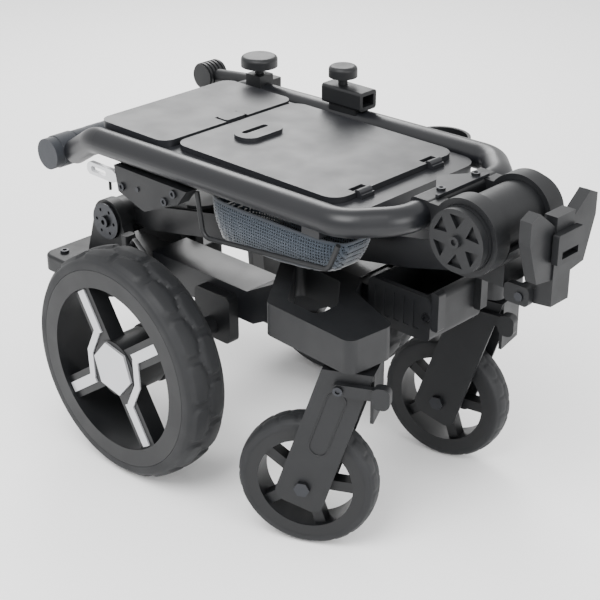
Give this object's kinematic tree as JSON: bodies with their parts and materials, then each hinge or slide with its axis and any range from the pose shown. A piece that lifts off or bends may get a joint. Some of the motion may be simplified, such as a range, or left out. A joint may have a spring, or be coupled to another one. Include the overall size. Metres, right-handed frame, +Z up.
{
  "type": "folding golf push trolley",
  "caption": "Folding golf push trolley with spoked rear wheels, swivelling front casters, hinged spine and handle frame with a lidded console, shown folded",
  "frame": {"origin": "middle of the bounding box on the ground", "axes": "+X forward towards the front casters, +Y to the trolley's left, +Z up"},
  "size_m": [0.765, 0.4334, 0.4612],
  "materials": {
    "tyre": "soft black tread rubber",
    "wheel_plastic": "fine grained black nylon",
    "silver_trim": "satin silver paint",
    "black_tube": "satin black powder coat",
    "foam": "closed cell grip foam",
    "console_plastic": "smooth satin black plastic",
    "screw_steel": "blackened steel",
    "lever": "pale silver paint",
    "net": "blue-grey open mesh",
    "cable": "glossy black cable jacket",
    "cast_plastic": "coarse grained black nylon"
  },
  "bodies": {
    "chassis": {"base_block": "cast_plastic", "chassis_beam": "black_tube", "tower": "cast_plastic", "tower_hinge_pin": "screw_steel", "chassis_screws": "screw_steel", "axle_hangers": "cast_plastic", "rear_axle": "black_tube", "brake_drums": "cast_plastic", "front_casting": "cast_plastic", "bag_bracket": "cast_plastic", "brake_cables": "cable"},
    "spine": {"spine_knuckle": "cast_plastic", "spine_tube": "black_tube", "barrel_saddle": "cast_plastic", "barrel": "cast_plastic", "barrel_end_caps": "cast_plastic", "bag_rest_assembly": "cast_plastic", "cradle_pin": "screw_steel"},
    "bag_cradle": {"bag_cradle": "cast_plastic", "cradle_buckle": "cast_plastic"},
    "handle": {"frame_knuckle": "cast_plastic", "knuckle_plate": "console_plastic", "handle_screws": "screw_steel", "frame_tubes": "black_tube", "crossbar": "black_tube", "grip_sleeve": "foam", "grip_fittings": "foam", "console_body": "console_plastic", "console_cover": "console_plastic", "lid_fittings": "console_plastic", "brake_housing": "cast_plastic", "net_pocket": "net", "net_rail": "cast_plastic", "post_bracket": "cast_plastic", "holder_arm": "cast_plastic", "holder_head": "cast_plastic", "cup_holder": "cast_plastic"},
    "lid": {"console_top": "console_plastic"},
    "brake_handle": {"brake_lever": "lever"},
    "post_screw": {"post_knob": "cast_plastic"},
    "holder_screw": {"holder_knob": "cast_plastic"},
    "rear_wheel_right": {"rear_tyre_right": "tyre", "rear_rim_right": "wheel_plastic", "wheel_inlays_right": "silver_trim", "rear_bearing_right": "screw_steel"},
    "caster_right": {"fork_right": "cast_plastic", "fork_pins_right": "screw_steel"},
    "front_wheel_right": {"front_tyre_right": "tyre", "front_rim_right": "wheel_plastic"},
    "swivel_latch_right": {"swivel_lock_right": "cast_plastic"},
    "rear_wheel_left": {"rear_tyre_left": "tyre", "rear_rim_left": "wheel_plastic", "wheel_inlays_left": "silver_trim", "rear_bearing_left": "screw_steel"},
    "caster_left": {"fork_left": "cast_plastic", "fork_pins_left": "screw_steel"},
    "front_wheel_left": {"front_tyre_left": "tyre", "front_rim_left": "wheel_plastic"},
    "swivel_latch_left": {"swivel_lock_left": "cast_plastic"}
  },
  "joints": [
    {"name": "rear_wheel_right_spin", "type": "hinge", "parent": "chassis", "child": "rear_wheel_right", "pos_m": [-0.1105, -0.18675, 0.145], "axis": [0, 1, 0], "continuous": true},
    {"name": "caster_right_swivel", "type": "hinge", "parent": "chassis", "child": "caster_right", "pos_m": [0.1995, -0.12725, 0.25], "axis": [0, 0, 1], "continuous": true},
    {"name": "front_wheel_right_spin", "type": "hinge", "parent": "caster_right", "child": "front_wheel_right", "pos_m": [0.15495, -0.14995, 0.082], "axis": [-0.454, 0.891, 0], "continuous": true},
    {"name": "swivel_lock_right_turn", "type": "hinge", "parent": "caster_right", "child": "swivel_latch_right", "pos_m": [0.20599, -0.15761, 0.219], "axis": [-0.454, 0.891, 0], "range_deg": [0, 25]},
    {"name": "rear_wheel_left_spin", "type": "hinge", "parent": "chassis", "child": "rear_wheel_left", "pos_m": [-0.1105, 0.17625, 0.145], "axis": [0, 1, 0], "continuous": true},
    {"name": "caster_left_swivel", "type": "hinge", "parent": "chassis", "child": "caster_left", "pos_m": [0.1995, 0.11675, 0.25], "axis": [0, 0, 1], "continuous": true},
    {"name": "front_wheel_left_spin", "type": "hinge", "parent": "caster_left", "child": "front_wheel_left", "pos_m": [0.15042, 0.10721, 0.082], "axis": [-0.1908, 0.9816, 0], "continuous": true},
    {"name": "swivel_lock_left_turn", "type": "hinge", "parent": "caster_left", "child": "swivel_latch_left", "pos_m": [0.19737, 0.08577, 0.219], "axis": [-0.1908, 0.9816, 0], "range_deg": [0, 25]},
    {"name": "main_fold", "type": "hinge", "parent": "chassis", "child": "spine", "pos_m": [-0.3005, -0.00525, 0.235], "axis": [0, -1, 0], "range_deg": [0, 105]},
    {"name": "handle_fold", "type": "hinge", "parent": "spine", "child": "handle", "pos_m": [0.2905, -0.00525, 0.392], "axis": [0, 1, 0], "range_deg": [0, 158]},
    {"name": "cradle_fold", "type": "hinge", "parent": "spine", "child": "bag_cradle", "pos_m": [0.3405, -0.00525, 0.33], "axis": [0, 1, 0], "range_deg": [0, 79]},
    {"name": "lid_open", "type": "hinge", "parent": "handle", "child": "lid", "pos_m": [0.1545, -0.00525, 0.406], "axis": [0, 1, 0], "range_deg": [0, 75]},
    {"name": "brake_squeeze", "type": "hinge", "parent": "handle", "child": "brake_handle", "pos_m": [-0.1305, -0.13525, 0.352], "axis": [0, -1, 0], "range_deg": [0, 20], "stiffness_Nm_per_rad": 1, "springref_deg": -5.73},
    {"name": "post_knob_turn", "type": "hinge", "parent": "handle", "child": "post_screw", "pos_m": [-0.0485, 0.12475, 0.44], "axis": [0, 0, 1], "continuous": true},
    {"name": "holder_knob_turn", "type": "hinge", "parent": "handle", "child": "holder_screw", "pos_m": [-0.1955, 0.12475, 0.422], "axis": [0, 0, 1], "continuous": true}
  ],
  "couplings": [
    {"joint": "handle_fold", "follows": "main_fold", "ratio": 1.5},
    {"joint": "cradle_fold", "follows": "main_fold", "ratio": 0.75}
  ]
}
